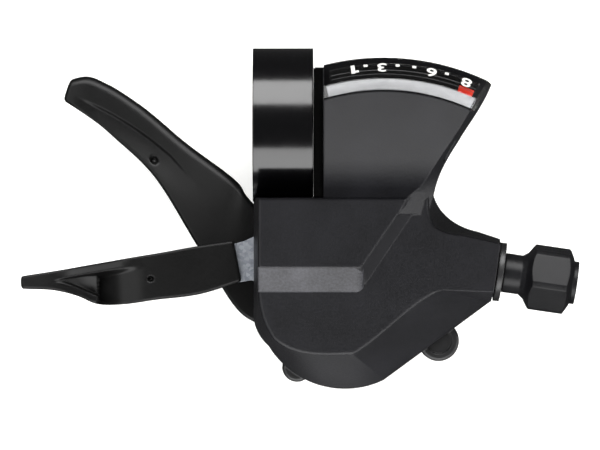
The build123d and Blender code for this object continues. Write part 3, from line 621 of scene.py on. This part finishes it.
# a flat bar bent round the dial: its sides are cut into steps, and its two faces are a little smaller than
# its middle, which they reach over edgeShare of its height
def barGrid(angle, middle, size, low, high):
    sideSteps = 8
    faceShare = 0.9
    edgeShare = 0.05
    corner = np.array([(-0.5, -0.5), (0.5, -0.5), (0.5, 0.5), (-0.5, 0.5)])
    steps = (np.arange(sideSteps) / sideSteps)[:, None, None]
    outline = (corner + steps * (np.roll(corner, -1, axis=0) - corner)).transpose(1, 0, 2).reshape(-1, 2)
    draw = np.array([faceShare, 1, 1, faceShare])[:, None, None]
    level = low + (high - low) * np.array([0, edgeShare, 1 - edgeShare, 1])[:, None, None]
    seen = draw * outline * size + (0, middle)
    return roundDial(np.concatenate([seen, np.broadcast_to(level, seen[..., :1].shape)], -1), angle)


# a section, given by its radii and heights, carried round the dial centre
def dialArc(arc, radii, heights):
    turn = np.radians(np.linspace(arc["fromAngle"], arc["toAngle"], arc["rows"]))[:, None]
    radius = np.array(radii)[None]
    x = dial["centre"][0] + radius * np.sin(turn)
    y = dial["centre"][1] + radius * np.cos(turn)
    return np.stack(np.broadcast_arrays(x, y, np.array(heights)[None]), -1)


for figure, angle in dial["figures"].items():
    addPiece("dialNumber" + figure, figureMesh(figure, angle), inkWhite, "base")
for part, (angle, middle, size) in dial["one"].items():
    stroke = barGrid(angle, middle, size, -dial["thick"] / 2, dial["thick"] / 2)
    closedTube("dialNumber1" + part, stroke, inkWhite, "base")
for count, angle in enumerate(dial["dashes"]):
    dash = barGrid(angle, dial["dashMiddle"], dial["dashSize"], -dial["thick"] / 2, dial["thick"] / 2)
    closedTube("dialDash" + str(count + 1), dash, inkWhite, "base")

# Dial lines and back film: two thin rings printed below the figures, and the film's black edge that stands up
# behind the window. Each has an inner and outer radius, a bottom and a top.
arcs = {"fromAngle": -13.2, "toAngle": 23.6, "rows": 80, "line1": (45.5, 45.62, 18.4, 18.45),
        "line2": (44.75, 44.84, 18.4, 18.45), "back": (46.78, 46.86, 13.45, 18.4)}
for name, key, ink in (
        ("dialLine1", "line1", inkGrey),
        ("dialLine2", "line2", inkGrey),
        ("dialBack", "back", filmBlack)):
    inner, outer, bottom, top = arcs[key]
    ring = dialArc(arcs, (inner, outer, outer, inner), (bottom, bottom, top, top))
    closedTube(name, ring, ink, "base")

# Pointer flag: a bar that stands on the needle's tip, up to just under the window, and turns with it
flag = {"angle": 21.4, "middle": 2.4, "size": (3.2, 1.5), "low": -3.5, "high": -0.9}
bar = barGrid(flag["angle"], flag["middle"], flag["size"], flag["low"], flag["high"])
closedTube("pointerFlag", bar, pointerAcetal, "needle")

# Bevel coat: a thin pale coat on the window's underside, along its lip and up the bevel, carried round the
# dial, so that the bevel looks light grey
bevelCoat = {"fromAngle": -15.0, "toAngle": 24.2, "rows": 90, "radius": (41.8, 42.8, 44.0, 44.0, 42.83, 41.8),
         "z": (17.16, 17.16, 18.46, 18.4, 17.1, 17.1)}
closedTube("bevelPaleCoat", dialArc(bevelCoat, bevelCoat["radius"], bevelCoat["z"]), paleBevelMaterial, "base")
print("dial printed")

# Studio: pale paper under the part, sized in metres, which glows a little so that it stays white
studio = {"floorColour": "#f4f4f2", "floorGlow": 0.35, "floorSize": 1.6, "fibreMm": 0.6, "fibreDepthMm": 0.02,
          "fibreStrength": 0.1, "roughness": 0.9, "shine": 0.1, "sky": 0.06, "backdrop": "#f3f3f2"}
floorZ = cadBox[0][2]
half = studio["floorSize"] / 2
floorMesh = bpy.data.meshes.new("floor")
floorCorners = [(-half, -half, floorZ), (half, -half, floorZ), (half, half, floorZ), (-half, half, floorZ)]
floorMesh.from_pydata(floorCorners, [], [(0, 1, 2, 3)])
floor = bpy.data.objects.new("floor", floorMesh)
scene.collection.objects.link(floor)
floor.visible_glossy = False
material, tree, place = newMaterial("palePaperSweep")
fibre = noise(tree, place, studio["fibreMm"], detail=3.0)
tooth = addNode(tree, "ShaderNodeBump",
                {"Strength": studio["fibreStrength"], "Distance": studio["fibreDepthMm"] * mm},
                {"Height": fibre})
paper = addNode(tree, "ShaderNodeBsdfPrincipled",
                {"Base Color": hexColour(studio["floorColour"]), "Roughness": studio["roughness"],
                 "Specular IOR Level": studio["shine"], "Emission Color": hexColour(studio["floorColour"]),
                 "Emission Strength": studio["floorGlow"]},
                {"Normal": tooth.outputs[0]})
closeMaterial(tree, paper)
floorMesh.materials.append(material)

# Lamps: a soft light overhead, broad boxes on the far and near side, dim ones on the left and right, and a
# lit card that lies on the floor in front and faces up. Distances and sizes are in metres, and cardAt is in
# millimetres.
lamps = {
    "softTop": {"turn": 0, "tilt": 0, "distance": 1.5, "size": (2.0, 2.0), "watts": 18.0},
    "farBox": {"turn": 0, "tilt": 49, "distance": 0.6, "size": (0.8, 0.42), "watts": 5.6},
    "nearBox": {"turn": 180, "tilt": 55, "distance": 0.6, "size": (0.8, 0.42), "watts": 3.7},
    "sideBox": {"turn": 90, "tilt": 36, "distance": 0.6, "size": (0.6, 0.3), "watts": 0.8},
    "neckBox": {"turn": -107, "tilt": 66, "distance": 0.6, "size": (0.4, 0.2), "watts": 0.95},
    "frontCard": {"turn": 0, "tilt": 180, "distance": 0.6, "size": (0.06, 0.095), "watts": 0.016},
}
cardAt = (5.0, -140.0)


# area light aimed at the part: tilt from straight overhead, towards the far side turned by this angle
def studioLight(name, turn, tilt, distance, size, watts):
    lamp = bpy.data.lights.new(name, "AREA")
    lamp.shape = "RECTANGLE"
    lamp.size = size[0]
    lamp.size_y = size[1]
    lamp.energy = watts
    holder = bpy.data.objects.new(name, lamp)
    lean = math.radians(tilt)
    heading = math.radians(turn)
    out = distance * math.sin(lean)
    holder.location = (-out * math.sin(heading), out * math.cos(heading), distance * math.cos(lean))
    holder.rotation_euler = (-lean, 0, heading)
    holder.visible_transmission = False
    holder.visible_camera = False
    scene.collection.objects.link(holder)
    return holder


lights = {name: studioLight(name, **lamp) for name, lamp in lamps.items()}
lights["softTop"].visible_glossy = False
lights["frontCard"].location = (cardAt[0] * mm, cardAt[1] * mm, floorZ + mm)

# the cover is kept out of the far box's light, as by a card held beside it
shaded = bpy.data.collections.new("shadedFromFarBox")
shaded.objects.link(nodes["upper_cover"])
shaded.collection_objects[0].light_linking.link_state = "EXCLUDE"
lights["farBox"].light_linking.receiver_collection = shaded

world = bpy.data.worlds.new("studioRoom")
scene.world = world
world.use_nodes = True
sky = world.node_tree
sky.nodes.clear()
ray = addNode(sky, "ShaderNodeLightPath")
room = addNode(sky, "ShaderNodeBackground", {"Color": (1, 1, 1, 1), "Strength": studio["sky"]})
sweep = addNode(sky, "ShaderNodeBackground", {"Color": hexColour(studio["backdrop"]), "Strength": 1.0})
seen = addNode(sky, "ShaderNodeMixShader",
               links={0: ray.outputs["Is Camera Ray"], 1: room.outputs[0], 2: sweep.outputs[0]})
addNode(sky, "ShaderNodeOutputWorld", links={"Surface": seen.outputs[0]})
scene.view_settings.view_transform = "Standard"

# Camera: straight overhead with a long lens, the rider's side at the top of the picture
view = {"middle": (3.4, -20.1), "height": 1005.0, "lens": 300.0, "sensor": 36.0}
camera = bpy.data.cameras.new("overheadCamera")
camera.lens = view["lens"]
camera.sensor_width = view["sensor"]
cameraHolder = bpy.data.objects.new("overheadCamera", camera)
cameraHolder.location = (view["middle"][0] * mm, view["middle"][1] * mm, view["height"] * mm)
scene.collection.objects.link(cameraHolder)
scene.camera = cameraHolder
print("studio and camera set")
